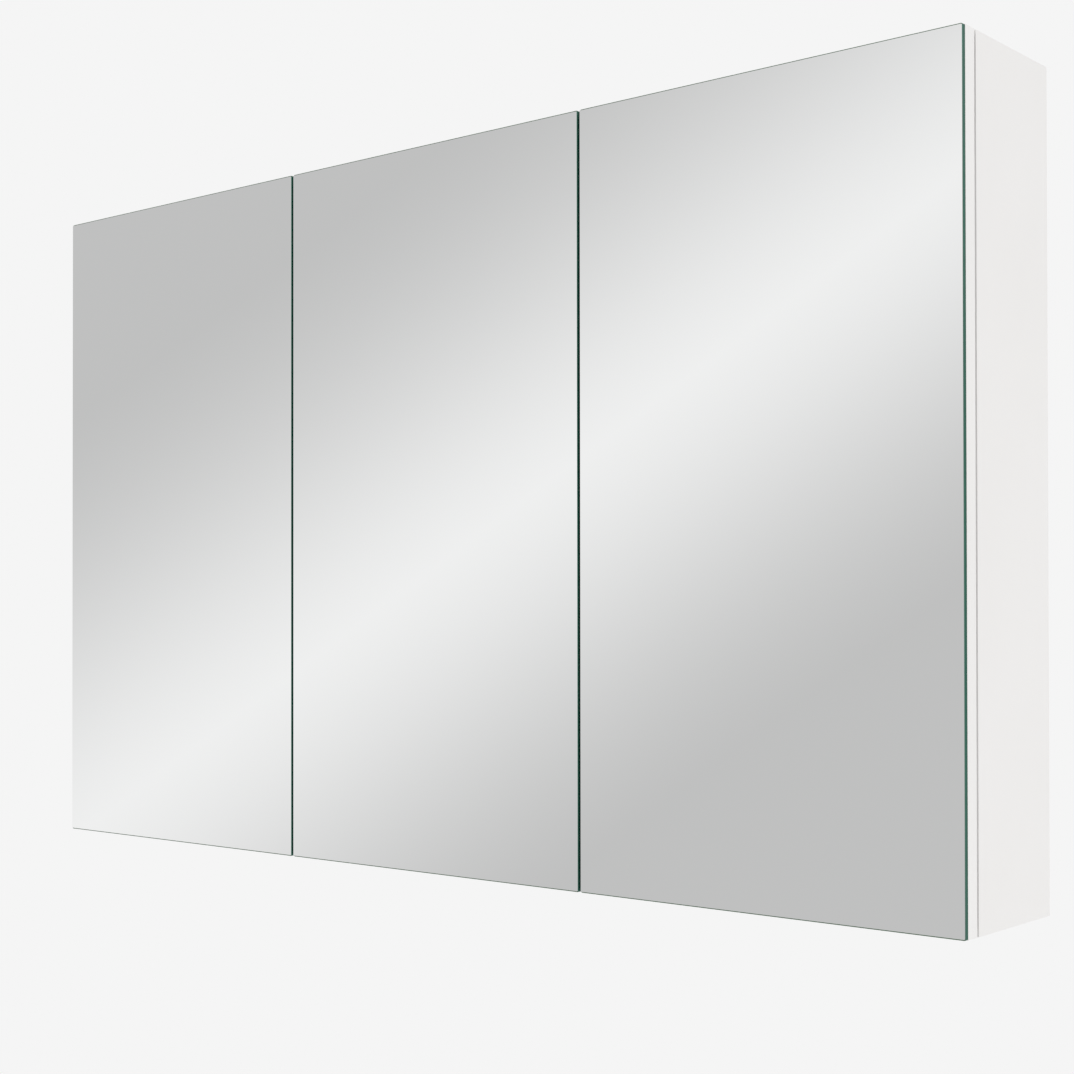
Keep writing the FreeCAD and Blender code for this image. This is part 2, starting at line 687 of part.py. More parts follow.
def all_nodes():
    plate_drillings = [hole for door in doors for hole in on_both_hinges(plate_screws(door, SCREW_FIT), door)]
    peg_drillings = [on_side(peg, side) for side in (-1, 1) for peg in hanger_pegs(HANGER_FIT)]
    nodes = carcass(plate_drillings, peg_drillings)
    nodes["back_panel"] = back_panel()
    nodes["carcass_dowels"] = dowels()
    nodes["shelf_pins"] = shelf_pins()
    for bay in bays:
        for name, height in zip(SHELF_LEVELS, shelf_heights):
            nodes[f"{bay}_{name}_shelf"] = shelf(bay, height)
    for name, side in (("left", -1), ("right", 1)):
        nodes[f"{name}_hanger_housing"] = on_side(hanger_housing(), side)
        nodes[f"{name}_hanger_hook"] = on_side(hook_blank(), side)
        nodes[f"{name}_wall_plate"] = on_side(wall_plate(), side)
    nodes["hanger_screws"] = [on_side(solid, side) for side in (-1, 1) for solid in hanger_screws()]
    for door in doors:
        nodes[f"{door.name}_door_board"] = door_board(door)
        nodes[f"{door.name}_mirror"] = mirror(door)
        nodes[f"{door.name}_door_buffers"] = buffers(door)
        nodes[f"{door.name}_hinge_cups"] = on_both_hinges([hinge_cup()], door)
        nodes[f"{door.name}_cup_screws"] = on_both_hinges(cup_screws(), door)
        nodes[f"{door.name}_cup_pins"] = on_both_hinges(cup_outer_stubs() + [cup_inner_rod()], door)
        nodes[f"{door.name}_outer_links"] = on_both_hinges(outer_link(), door)
        nodes[f"{door.name}_inner_links"] = on_both_hinges(inner_link(), door)
        nodes[f"{door.name}_hinge_arms"] = on_both_hinges([hinge_arm(door)], door)
        nodes[f"{door.name}_hinge_plates"] = on_both_hinges([mounting_plate(door)], door)
    nodes["hinge_arm_pins"] = [pin for door in doors for pin in on_both_hinges(arm_pins(), door)]
    nodes["hinge_plate_screws"] = [part for door in doors for part in on_both_hinges(plate_screws(door), door)]
    nodes["hinge_adjusters"] = [part for door in doors for part in on_both_hinges(adjusters(door), door)]
    return nodes


def write(nodes):
    os.makedirs("parts", exist_ok=True)
    for name, shape in nodes.items():
        solids = shape if isinstance(shape, list) else [shape]
        whole = solids[0] if len(solids) == 1 else Part.makeCompound(solids)
        if not whole.isValid():
            raise ValueError(f"{name} is not a valid shape")
        whole.exportStep(f"parts/{name}.step")
        print(name, len(whole.Solids), "solids", round(whole.Volume), "mm3")


write(all_nodes())
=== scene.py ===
import math
import bmesh
import bpy
from mathutils import Matrix, Vector


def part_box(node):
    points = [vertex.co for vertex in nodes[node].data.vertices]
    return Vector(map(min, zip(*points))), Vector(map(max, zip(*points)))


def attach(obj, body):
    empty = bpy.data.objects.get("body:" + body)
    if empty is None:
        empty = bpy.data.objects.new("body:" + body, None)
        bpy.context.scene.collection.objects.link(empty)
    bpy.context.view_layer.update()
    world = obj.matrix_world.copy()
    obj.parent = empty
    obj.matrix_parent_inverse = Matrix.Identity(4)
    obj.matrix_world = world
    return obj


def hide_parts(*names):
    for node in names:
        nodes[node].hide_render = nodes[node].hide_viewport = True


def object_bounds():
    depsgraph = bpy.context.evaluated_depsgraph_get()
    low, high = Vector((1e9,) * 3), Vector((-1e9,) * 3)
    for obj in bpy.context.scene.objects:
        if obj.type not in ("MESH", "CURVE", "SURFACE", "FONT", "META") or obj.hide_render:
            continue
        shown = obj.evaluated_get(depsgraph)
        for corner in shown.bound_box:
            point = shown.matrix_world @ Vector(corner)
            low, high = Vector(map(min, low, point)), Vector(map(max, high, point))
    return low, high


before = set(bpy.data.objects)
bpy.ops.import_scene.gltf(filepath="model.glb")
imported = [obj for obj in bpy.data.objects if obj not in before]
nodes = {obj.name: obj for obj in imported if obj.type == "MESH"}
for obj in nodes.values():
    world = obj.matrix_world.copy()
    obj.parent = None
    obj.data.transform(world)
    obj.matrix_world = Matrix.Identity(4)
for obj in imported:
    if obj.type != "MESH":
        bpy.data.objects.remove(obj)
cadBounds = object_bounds()
scene = bpy.context.scene
mm = 0.001


# small helpers for node trees
def addNode(tree, kind, settings=None, values=None):
    node = tree.nodes.new(kind)
    for key, value in (settings or {}).items():
        setattr(node, key, value)
    for key, value in (values or {}).items():
        node.inputs[key].default_value = value
    return node


def feed(tree, socket, value):
    # a number is set on the socket, anything else is linked to it
    if isinstance(value, (int, float)):
        socket.default_value = value
    else:
        tree.links.new(value, socket)


def mathNode(tree, operation, *terms):
    node = addNode(tree, "ShaderNodeMath", {"operation": operation})
    for socket, term in zip(node.inputs, terms):
        feed(tree, socket, term)
    return node.outputs[0]


def mixNode(tree, factor, first, second):
    node = addNode(tree, "ShaderNodeMix", {"data_type": "FLOAT"})
    for index, term in ((0, factor), (2, first), (3, second)):  # the node's sockets for plain numbers
        feed(tree, node.inputs[index], term)
    return node.outputs[0]


def fadeNode(tree, value, start, end, kind="SMOOTHSTEP"):
    # rises from 0 at start to 1 at end
    ends = {"From Min": start, "From Max": end}
    node = addNode(tree, "ShaderNodeMapRange", {"interpolation_type": kind}, ends)
    tree.links.new(value, node.inputs["Value"])
    return node.outputs["Result"]


def againstNode(tree, operation, vector, fixed):
    # a number from a vector and a fixed one, such as their dot product or distance
    node = addNode(tree, "ShaderNodeVectorMath", {"operation": operation})
    tree.links.new(vector, node.inputs[0])
    node.inputs[1].default_value = fixed
    return node.outputs["Value"]


def splitNode(tree, vector):
    node = addNode(tree, "ShaderNodeSeparateXYZ")
    tree.links.new(vector, node.inputs[0])
    return node.outputs


def vectorNode(tree, **parts):
    node = addNode(tree, "ShaderNodeCombineXYZ")
    for axis, value in parts.items():
        feed(tree, node.inputs[axis.upper()], value)
    return node.outputs[0]


# camera at the photograph's viewing angle
cameraSetup = {
    "place": (1.27868, -1.50704, -0.40744),
    "yaw": 39.9924,  # degrees to the left of straight at the wall
    "pitch": 0.5528,  # degrees upwards
    "roll": -0.0718,
    "lens": 60.8082,
    "sensor": 36.0,
    "rise": 0.05239,  # the picture's centre lies above the lens axis
    "nearest": 0.01,
}


def addCamera(setup):
    lens = bpy.data.cameras.new("photoCamera")
    lens.lens = setup["lens"]
    lens.sensor_width = setup["sensor"]
    lens.shift_y = setup["rise"]
    lens.clip_start = setup["nearest"]
    camera = bpy.data.objects.new("photoCamera", lens)
    scene.collection.objects.link(camera)
    place = Matrix.Translation(setup["place"])
    for degrees, axis in ((setup["yaw"], "Z"), (90 + setup["pitch"], "X"), (setup["roll"], "Z")):
        place = place @ Matrix.Rotation(math.radians(degrees), 4, axis)
    camera.matrix_world = place
    scene.camera = camera


# pale studio: a plain backdrop, and a broad soft band of light that the mirrors show
studio = {
    "backdrop": 0.913,
    "ambient": 0.88,
    "ambientLift": 0.14,  # more light from above than from below
    "ceiling": 0.9,  # more brightness above what the mirrors show, for the metal
    "ceilingFade": (0.72, 0.95),  # sines of the heights where it starts and is full
    "ground": 0.6,  # and shade below it
    "groundFade": (-0.35, -0.8),
    "bandNormal": (0.4245, -0.4253, -0.7993),
    "bandHalf": 0.178,  # sine of the angle at which the band has faded
    "bandDark": 190 / 255,  # as a display shows it, outside the band
    "bandRise": 48 / 255,  # and how much lighter its middle is
    "sheenNormal": (0.6, 0.0, -0.8),  # wider soft bands for the other directions
    "sheenPeriod": 0.6,
    "sheenReach": (-0.42, -0.22),  # X of the directions over which these take over
    "displayGamma": 2.2,
    "mirrorLoss": 1.06,  # makes up for the light that the silver takes
}


def bandLight(tree, direction, aside, setup):
    # one broad band in the photograph's view, and softer ones beside it
    distance = mathNode(tree, "ABSOLUTE", againstNode(tree, "DOT_PRODUCT", direction, setup["bandNormal"]))
    fades = [fadeNode(tree, distance, setup["bandHalf"], 0.0, kind) for kind in ("LINEAR", "SMOOTHSTEP")]
    band = mathNode(tree, "MULTIPLY", mathNode(tree, "ADD", *fades), 0.5)
    slant = againstNode(tree, "DOT_PRODUCT", direction, setup["sheenNormal"])
    phase = mathNode(tree, "MULTIPLY", slant, math.tau / setup["sheenPeriod"])
    sheen = mathNode(tree, "MULTIPLY_ADD", mathNode(tree, "COSINE", phase), 0.5, 0.5)
    fade = mixNode(tree, fadeNode(tree, aside, *setup["sheenReach"]), band, sheen)
    shown = mathNode(tree, "MULTIPLY_ADD", fade, setup["bandRise"], setup["bandDark"])
    light = mathNode(tree, "POWER", shown, setup["displayGamma"])
    return mathNode(tree, "MULTIPLY", light, setup["mirrorLoss"])


def buildWorld(setup):
    world = bpy.data.worlds.new("paleStudio")
    scene.world = world
    world.use_nodes = True
    tree = world.node_tree
    tree.nodes.clear()
    direction = addNode(tree, "ShaderNodeTexCoord").outputs["Generated"]
    split = splitNode(tree, direction)
    height = split["Z"]
    over = mathNode(tree, "MULTIPLY", fadeNode(tree, height, *setup["ceilingFade"]), setup["ceiling"])
    under = mathNode(tree, "MULTIPLY", fadeNode(tree, height, *setup["groundFade"]), setup["ground"])
    shade = mathNode(tree, "ADD", mathNode(tree, "SUBTRACT", over, under), 1.0)
    mirrored = mathNode(tree, "MULTIPLY", bandLight(tree, direction, split["X"], setup), shade)
    lift = setup["ambient"] * setup["ambientLift"]
    ambient = mathNode(tree, "MULTIPLY_ADD", height, lift, setup["ambient"])
    path = addNode(tree, "ShaderNodeLightPath").outputs
    lit = mixNode(tree, path["Is Glossy Ray"], ambient, mirrored)
    seen = mathNode(tree, "MAXIMUM", path["Is Camera Ray"], path["Is Transmission Ray"])
    backdrop = addNode(tree, "ShaderNodeBackground", None, {"Color": (1, 1, 1, 1)})
    tree.links.new(mixNode(tree, seen, lit, setup["backdrop"]), backdrop.inputs["Strength"])
    output = addNode(tree, "ShaderNodeOutputWorld")
    tree.links.new(backdrop.outputs[0], output.inputs["Surface"])


lamps = {
    "highLeft": {"place": (-1.6, -2.8, 1.9), "power": 15.0, "size": 2.4},
    "lowRight": {"place": (2.9, -0.9, -1.3), "power": 14.0, "size": 1.8},
}


def addLamp(name, setup, target):
    light = bpy.data.lights.new(name, "AREA")
    light.energy = setup["power"]
    light.size = setup["size"]
    lamp = bpy.data.objects.new(name, light)
    scene.collection.objects.link(lamp)
    lamp.location = setup["place"]
    lamp.rotation_euler = (target - lamp.location).to_track_quat("-Z", "Y").to_euler()
    lamp.visible_glossy = False  # no bright squares in the mirrors


floorSetup = {
    "centre": (0, -0.2, -1.875),
    "radius": 2.6,
    "fadeFrom": 1.1,  # from here to the rim it melts into the backdrop
    "sides": 96,
    "shown": 0.84,
    "bounce": 0.62,  # what it throws back on the cabinet
}


def floorFinish(setup):
    finish = bpy.data.materials.new("paleFloor")
    finish.use_nodes = True
    tree = finish.node_tree
    tree.nodes.clear()
    path = addNode(tree, "ShaderNodeLightPath").outputs
    seen = mathNode(tree, "MAXIMUM", path["Is Camera Ray"], path["Is Glossy Ray"])
    matte = addNode(tree, "ShaderNodeBsdfDiffuse")
    tree.links.new(mixNode(tree, seen, setup["bounce"], setup["shown"]), matte.inputs["Color"])
    coords = addNode(tree, "ShaderNodeTexCoord").outputs["Object"]
    reach = againstNode(tree, "DISTANCE", coords, setup["centre"])
    faded = fadeNode(tree, reach, setup["fadeFrom"], setup["radius"])
    clear = addNode(tree, "ShaderNodeBsdfTransparent")
    melt = addNode(tree, "ShaderNodeMixShader")
    for socket, source in zip(melt.inputs, (faded, matte.outputs[0], clear.outputs[0])):
        tree.links.new(source, socket)
    output = addNode(tree, "ShaderNodeOutputMaterial")
    tree.links.new(melt.outputs[0], output.inputs["Surface"])
    return finish


def addFloor(setup):
    bm = bmesh.new()
    bmesh.ops.create_circle(bm, cap_ends=True, segments=setup["sides"], radius=setup["radius"])
    mesh = bpy.data.meshes.new("paleFloor")
    bm.to_mesh(mesh)
    bm.free()
    mesh.transform(Matrix.Translation(setup["centre"]))
    mesh.materials.append(floorFinish(setup))
    floor = bpy.data.objects.new("paleFloor", mesh)
    scene.collection.objects.link(floor)


scene.view_settings.view_transform = "Standard"
middle = (cadBounds[0] + cadBounds[1]) / 2
addCamera(cameraSetup)
buildWorld(studio)
for lampName, lampSetup in lamps.items():
    addLamp(lampName, lampSetup, middle)
addFloor(floorSetup)
print("studio: camera, backdrop,", len(lamps), "lamps, floor")


# finishes: every one is procedural on Object coordinates
noiseSpan = (0.3, 0.7)  # most of the noise lies between these


def newFinish(name, colour, roughness, metallic=0.0):
    finish = bpy.data.materials.new(name)
    finish.use_nodes = True
    finish.diffuse_color = (*colour, 1)
    shader = finish.node_tree.nodes["Principled BSDF"]
    shader.inputs["Base Color"].default_value = (*colour, 1)
    shader.inputs["Roughness"].default_value = roughness
    shader.inputs["Metallic"].default_value = metallic
    return finish, finish.node_tree, shader


def grain(tree, scale, detail=2.0, stretch=(1, 1, 1)):
    coords = addNode(tree, "ShaderNodeTexCoord").outputs["Object"]
    mapping = addNode(tree, "ShaderNodeMapping", None, {"Scale": stretch})
    tree.links.new(coords, mapping.inputs["Vector"])
    texture = addNode(tree, "ShaderNodeTexNoise", None, {"Scale": scale, "Detail": detail})
    tree.links.new(mapping.outputs[0], texture.inputs["Vector"])
    return texture.outputs[0]


def tint(tree, shader, noise, dark, light):
    ramp = addNode(tree, "ShaderNodeValToRGB")
    for element, position, colour in zip(ramp.color_ramp.elements, noiseSpan, (dark, light)):
        element.position = position
        element.color = (*colour, 1)
    tree.links.new(noise, ramp.inputs["Fac"])
    tree.links.new(ramp.outputs["Color"], shader.inputs["Base Color"])


def gloss(tree, shader, noise, low, high):
    ends = {"From Min": noiseSpan[0], "From Max": noiseSpan[1], "To Min": low, "To Max": high}
    spread = addNode(tree, "ShaderNodeMapRange", None, ends)
    tree.links.new(noise, spread.inputs["Value"])
    tree.links.new(spread.outputs["Result"], shader.inputs["Roughness"])


def relief(tree, shader, noise, strength, height):
    bump = addNode(tree, "ShaderNodeBump", None, {"Strength": strength, "Distance": height})
    tree.links.new(noise, bump.inputs["Height"])
    tree.links.new(bump.outputs["Normal"], shader.inputs["Normal"])


def seeThrough(shader, weight, bending):
    shader.inputs["Transmission Weight"].default_value = weight
    shader.inputs["IOR"].default_value = bending


def whiteMelamine():
    finish, tree, shader = newFinish("whiteMelamine", (0.84, 0.828, 0.818), roughness=0.4)
    tint(tree, shader, grain(tree, scale=6, detail=3), (0.832, 0.820, 0.808), (0.848, 0.837, 0.828))
    gloss(tree, shader, grain(tree, scale=60, detail=3), low=0.34, high=0.44)
    pearl = grain(tree, scale=700)  # of the press plate
    relief(tree, shader, pearl, strength=0.05, height=0.2 * mm)
    return finish


def whiteEdging():
    finish, tree, shader = newFinish("whiteEdging", (0.845, 0.835, 0.825), roughness=0.3)
    tint(tree, shader, grain(tree, scale=5), (0.838, 0.828, 0.818), (0.850, 0.840, 0.830))
    gloss(tree, shader, grain(tree, scale=9), low=0.28, high=0.33)
    return finish


def rawChipboard():
    finish, tree, shader = newFinish("rawChipboard", (0.55, 0.41, 0.25), roughness=0.8)
    chips = grain(tree, scale=420, detail=4)
    tint(tree, shader, chips, (0.36, 0.24, 0.13), (0.66, 0.51, 0.33))
    relief(tree, shader, chips, strength=0.6, height=0.4 * mm)
    return finish


def rawHardboard():
    finish, tree, shader = newFinish("rawHardboard", (0.36, 0.235, 0.13), roughness=0.75)
    bothWays = [grain(tree, scale=170, detail=4, stretch=stretch) for stretch in ((1, 1, 4), (4, 1, 1))]
    felted = mathNode(tree, "ADD", *bothWays)
    clouds = mathNode(tree, "MULTIPLY", grain(tree, scale=9, detail=3), 0.2)
    fibres = mathNode(tree, "MULTIPLY_ADD", felted, 0.4, clouds)
    tint(tree, shader, fibres, (0.28, 0.175, 0.092), (0.44, 0.295, 0.168))
    gloss(tree, shader, fibres, low=0.66, high=0.82)
    relief(tree, shader, felted, strength=0.25, height=0.2 * mm)
    return finish


def silverMirror():
    finish, tree, shader = newFinish("silverMirror", (0.945, 0.95, 0.948), roughness=0.0, metallic=1.0)
    wipedDust = grain(tree, scale=5, detail=6, stretch=(1, 1, 0.35))
    gloss(tree, shader, wipedDust, low=0.0, high=0.012)
    return finish


def glassEdge():
    finish, tree, shader = newFinish("glassEdge", (0.010, 0.092, 0.060), roughness=0.16)
    shader.inputs["Specular IOR Level"].default_value = 0.2
    streaks = grain(tree, scale=60, detail=3, stretch=(1, 6, 1))
    tint(tree, shader, streaks, (0.008, 0.083, 0.054), (0.013, 0.101, 0.067))
    gloss(tree, shader, grain(tree, scale=80), low=0.12, high=0.22)
    return finish


def arrisFinish(name, colour, spread, roughness, silver):
    # a narrow bevel that shows part glass and part silver
    finish, tree, shader = newFinish(name, colour, roughness, silver)
    rubbed = grain(tree, scale=900, detail=3)
    dark, light = ([value + shift for value in colour] for shift in (-spread, spread))
    tint(tree, shader, rubbed, dark, light)
    relief(tree, shader, rubbed, strength=0.1, height=0.1 * mm)
    return finish


def polishedArris():
    return arrisFinish("polishedArris", (0.15, 0.29, 0.24), spread=0.02, roughness=0.2, silver=1.0)


def groundArris():
    return arrisFinish("groundArris", (0.05, 0.112, 0.057), spread=0.01, roughness=0.4, silver=0.4)


def mirrorPaint():
    finish, tree, shader = newFinish("mirrorPaint", (0.34, 0.36, 0.37), roughness=0.6)
    tint(tree, shader, grain(tree, scale=30, detail=4), (0.31, 0.33, 0.345), (0.37, 0.385, 0.395))
    relief(tree, shader, grain(tree, scale=600), strength=0.15, height=0.1 * mm)
    return finish


def shelfGlass():
    finish, tree, shader = newFinish("shelfGlass", (0.93, 0.985, 0.965), roughness=0.0)
    seeThrough(shader, weight=1.0, bending=1.52)
    gloss(tree, shader, grain(tree, scale=7, detail=5), low=0.0, high=0.02)
    return finish


def shelfEdge():
    finish, tree, shader = newFinish("shelfEdge", (0.16, 0.46, 0.36), roughness=0.1)
    seeThrough(shader, weight=0.45, bending=1.52)
    tint(tree, shader, grain(tree, scale=180, detail=3), (0.12, 0.40, 0.31), (0.21, 0.53, 0.43))
    return finish


def bufferSilicone():
    finish, tree, shader = newFinish("bufferSilicone", (0.86, 0.875, 0.87), roughness=0.35)
    seeThrough(shader, weight=0.55, bending=1.41)
    gloss(tree, shader, grain(tree, scale=900), low=0.28, high=0.42)
    return finish


def hingeNickel():
    finish, tree, shader = newFinish("hingeNickel", (0.66, 0.65, 0.625), roughness=0.25, metallic=1.0)
    tint(tree, shader, grain(tree, scale=45), (0.64, 0.63, 0.605), (0.68, 0.67, 0.645))
    gloss(tree, shader, grain(tree, scale=70), low=0.17, high=0.24)
    relief(tree, shader, grain(tree, scale=1500), strength=0.02, height=0.05 * mm)
    return finish


def zincSteel():
    finish, tree, shader = newFinish("zincSteel", (0.60, 0.62, 0.64), roughness=0.35, metallic=1.0)
    tint(tree, shader, grain(tree, scale=75, detail=4), (0.55, 0.57, 0.60), (0.65, 0.665, 0.68))
    gloss(tree, shader, grain(tree, scale=230, detail=4, stretch=(1, 1, 0.4)), low=0.24, high=0.42)
    relief(tree, shader, grain(tree, scale=1300), strength=0.05, height=0.05 * mm)
    return finish


def hangerPlastic():
    finish, tree, shader = newFinish("hangerPlastic", (0.80, 0.795, 0.78), roughness=0.5)
    tint(tree, shader, grain(tree, scale=40), (0.785, 0.78, 0.765), (0.815, 0.81, 0.797))
    gloss(tree, shader, grain(tree, scale=90), low=0.42, high=0.56)
    sparks = grain(tree, scale=1600)  # of the eroded mould
    relief(tree, shader, sparks, strength=0.25, height=0.08 * mm)
    return finish


def beechWood():
    finish, tree, shader = newFinish("beechWood", (0.60, 0.42, 0.25), roughness=0.6)
    fibres = grain(tree, scale=300, detail=4, stretch=(0.2, 1, 0.2))
    tint(tree, shader, fibres, (0.52, 0.34, 0.19), (0.68, 0.50, 0.31))
    relief(tree, shader, fibres, strength=0.3, height=0.1 * mm)
    return finish


makers = (
    whiteMelamine, whiteEdging, rawChipboard, rawHardboard,
    silverMirror, glassEdge, polishedArris, groundArris, mirrorPaint, shelfGlass, shelfEdge,
    bufferSilicone, hingeNickel, zincSteel, hangerPlastic, beechWood,
)
finishes = {maker.__name__: maker() for maker in makers}
print("finishes:", len(finishes))


# pieces that keep a node's form and get eased edges
meshing = {
    "merge": 0.004 * mm,  # points this near are one
    "sliver": 0.002 * mm,  # shorter edges are dissolved
    "touch": 0.01 * mm,  # a point this near to a plane lies on it
    "coplanar": 0.4,  # degrees between triangles of one face
    "sharp": 40.0,  # degrees from which an edge is eased
    "smooth": 32.0,  # degrees up to which faces shade as one
    "turnedSmooth": 40.0,  # the same for the small turned parts
    "square": 0.99,  # cosine from which a direction counts as along an axis
}


def mergedCopy(nodeName):
    bm = bmesh.new()
    bm.from_mesh(nodes[nodeName].data)
    bmesh.ops.remove_doubles(bm, verts=bm.verts[:], dist=meshing["merge"])
    bmesh.ops.dissolve_limit(bm, angle_limit=math.radians(meshing["coplanar"]), use_dissolve_boundaries=False,
                             verts=bm.verts[:], edges=bm.edges[:], delimit=set())
    return bm


def sharpEdges(bm, least=meshing["sharp"]):
    limit = math.radians(least)
    return [edge for edge in bm.edges if edge.is_manifold and edge.calc_face_angle_signed() > limit]


def ease(bm, edges, radius, segments=2):
    bmesh.ops.bevel(bm, geom=edges, offset=radius, offset_type="OFFSET", segments=segments, profile=0.5,
                    affect="EDGES", clamp_overlap=False, material=-1)


def shadeSmooth(mesh, degrees):
    mesh.polygons.foreach_set("use_smooth", [True] * len(mesh.polygons))
    mesh.set_sharp_from_angle(angle=math.radians(degrees))


def settle(piece):
    # the modifiers' result becomes the piece's plain mesh
    graph = bpy.context.evaluated_depsgraph_get()
    plain = bpy.data.meshes.new_from_object(piece.evaluated_get(graph), depsgraph=graph)
    piece.modifiers.clear()
    old = piece.data
    piece.data = plain
    bpy.data.meshes.remove(old)
    plain.name = piece.name


def claim(piece, body, nodeName):
    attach(piece, body)
    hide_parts(nodeName)


def addPiece(name, bm, looks, body, nodeName, weighted=True):
    bmesh.ops.dissolve_degenerate(bm, edges=bm.edges[:], dist=meshing["sliver"])
    mesh = bpy.data.meshes.new(name)
    bm.to_mesh(mesh)
    bm.free()
    for look in looks:
        mesh.materials.append(finishes[look])
    shadeSmooth(mesh, meshing["smooth"])
    piece = bpy.data.objects.new(name, mesh)
    scene.collection.objects.link(piece)
    if weighted:
        weigh = piece.modifiers.new("flatFaces", "WEIGHTED_NORMAL")
        weigh.keep_sharp = True
        settle(piece)
    claim(piece, body, nodeName)


def easedPiece(name, nodeName, look, body, radius, least=meshing["sharp"]):
    bm = mergedCopy(nodeName)
    ease(bm, sharpEdges(bm, least), radius)
    addPiece(name, bm, [look], body, nodeName)


# boards of the carcass and the doors
boards = {
    "pieces": {
        "leftSidePanel": ("left_side_panel", "root"),
        "rightSidePanel": ("right_side_panel", "root"),
        "topPanel": ("top_panel", "root"),
        "bottomPanel": ("bottom_panel", "root"),
        "leftPartition": ("left_partition", "root"),
        "rightPartition": ("right_partition", "root"),
        "backPanel": ("back_panel", "root"),
        "leftDoorBoard": ("left_door_board", "left_door"),
        "middleDoorBoard": ("middle_door_board", "middle_door"),
        "rightDoorBoard": ("right_door_board", "right_door"),
    },
    "looks": ["whiteMelamine", "whiteEdging", "rawChipboard"],
    "backLooks": ["whiteMelamine", "rawHardboard"],  # painted front, raw rear
    "ease": 0.5 * mm,
    "thinEase": 0.25 * mm,  # on the hardboard
    "easeSteps": 3,
    "edgeReach": 1.2,  # faces within this many eases of the outside belong to the edging
    "painted": 0.5,  # how far a painted face of the hardboard looks forwards at least
}


def onPlanes(point, low, high, reach):
    # the axes along which a point lies on a side of the box
    return [axis for axis in range(3)
            if min(abs(point[axis] - low[axis]), abs(point[axis] - high[axis])) < reach]


def outerEdges(bm, low, high):
    picked = []
    for edge in sharpEdges(bm):
        ends = [set(onPlanes(vert.co, low, high, meshing["touch"])) for vert in edge.verts]
        if len(ends[0] & ends[1]) == 2:
            picked.append(edge)
    return picked


def boardLook(face, low, high):
    # faced on the broad sides, edged round them, raw in holes and grooves
    size = high - low
    thin = min(range(3), key=lambda axis: size[axis])
    near = onPlanes(face.calc_center_median(), low, high, boards["edgeReach"] * boards["ease"])
    flat = [axis for axis in near if abs(face.normal[axis]) > meshing["square"]]
    if flat:
        return 0 if flat[0] == thin else 1
    return 1 if near else 2


def boardPiece(name, nodeName, body):
    low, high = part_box(nodeName)
    isBack = nodeName == "back_panel"
    bm = mergedCopy(nodeName)
    ease(bm, outerEdges(bm, low, high), boards["thinEase" if isBack else "ease"], boards["easeSteps"])
    for face in bm.faces:
        if isBack:
            face.material_index = 0 if face.normal.y < -boards["painted"] else 1
        else:
            face.material_index = boardLook(face, low, high)
    addPiece(name, bm, boards["backLooks" if isBack else "looks"], body, nodeName)


for pieceName, (nodeName, body) in boards["pieces"].items():
    boardPiece(pieceName, nodeName, body)
print("boards:", len(boards["pieces"]))


# glass: stacked rounded outlines joined into a plate
corners = ((1, 1), (-1, 1), (-1, -1), (1, -1))


def outlineRing(bm, low, high, station, setup):
    u, v, w = setup["axes"]
    level, insetU, insetV = station
    corner, steps = setup["corner"], setup["steps"]
    ring = []
    for quarter, (sideU, sideV) in enumerate(corners):
        centreU = (high[u] if sideU > 0 else low[u]) - sideU * corner
        centreV = (high[v] if sideV > 0 else low[v]) - sideV * corner
        for step in range(steps + 1):
            angle = math.radians(90 * (quarter + step / steps))
            point = Vector((0, 0, 0))
            point[u] = centreU + (corner - insetU) * math.cos(angle)
            point[v] = centreV + (corner - insetV) * math.sin(angle)
            point[w] = level
            ring.append(bm.verts.new(point))
    return ring


def closePlate(bm, ring, low, high, level, look, setup):
    # a flat end: one plain rectangle, with narrow strips from it to the rounded outline
    u, v, w = setup["axes"]
    margin = setup["margin"]
    inner = []
    for sideU, sideV in corners:
        point = Vector((0, 0, 0))
        point[u] = high[u] - margin if sideU > 0 else low[u] + margin
        point[v] = high[v] - margin if sideV > 0 else low[v] + margin
        point[w] = level
        inner.append(bm.verts.new(point))
    span = len(ring) // 4
    faces = [bm.faces.new(inner)]
    for k in range(4):
        following = (k + 1) % 4
        arc = ring[k * span:(k + 1) * span]
        faces += [bm.faces.new((a, b, inner[k])) for a, b in zip(arc, arc[1:])]
        faces.append(bm.faces.new((arc[-1], ring[following * span], inner[following], inner[k])))
    for face in faces:
        face.material_index = look


def glassPlate(low, high, stations, setup):
    bm = bmesh.new()
    bands = setup["bands"]
    rings = [outlineRing(bm, low, high, station, setup) for station in stations]
    for end in (0, -1):
        closePlate(bm, rings[end], low, high, stations[end][0], bands[end], setup)
    count = len(rings[0])
    for first, second, look in zip(rings, rings[1:], bands[1:-1]):
        for i in range(count):
            j = (i + 1) % count
            bm.faces.new((first[i], first[j], second[j], second[i])).material_index = look
    bmesh.ops.recalc_face_normals(bm, faces=bm.faces[:])
    return bm


mirrorSetup = {
    "axes": (0, 2, 1),  # across, up and through the glass
    "arris": 1.0 * mm,  # along top and bottom
    "sideArris": 0.35 * mm,
    "rearEase": 0.2 * mm,
    "corner": 1.6 * mm,
    "steps": 4,
    "margin": 6.4 * mm,  # of the strips round the plain rectangle
    "looks": ["silverMirror", "polishedArris", "glassEdge", "mirrorPaint", "groundArris"],
    "bands": (0, 1, 2, 2, 2, 3),  # looks of the face, each step round the edge, and the back
    "slope": 0.3,  # how far a bevel faces forwards at least
}


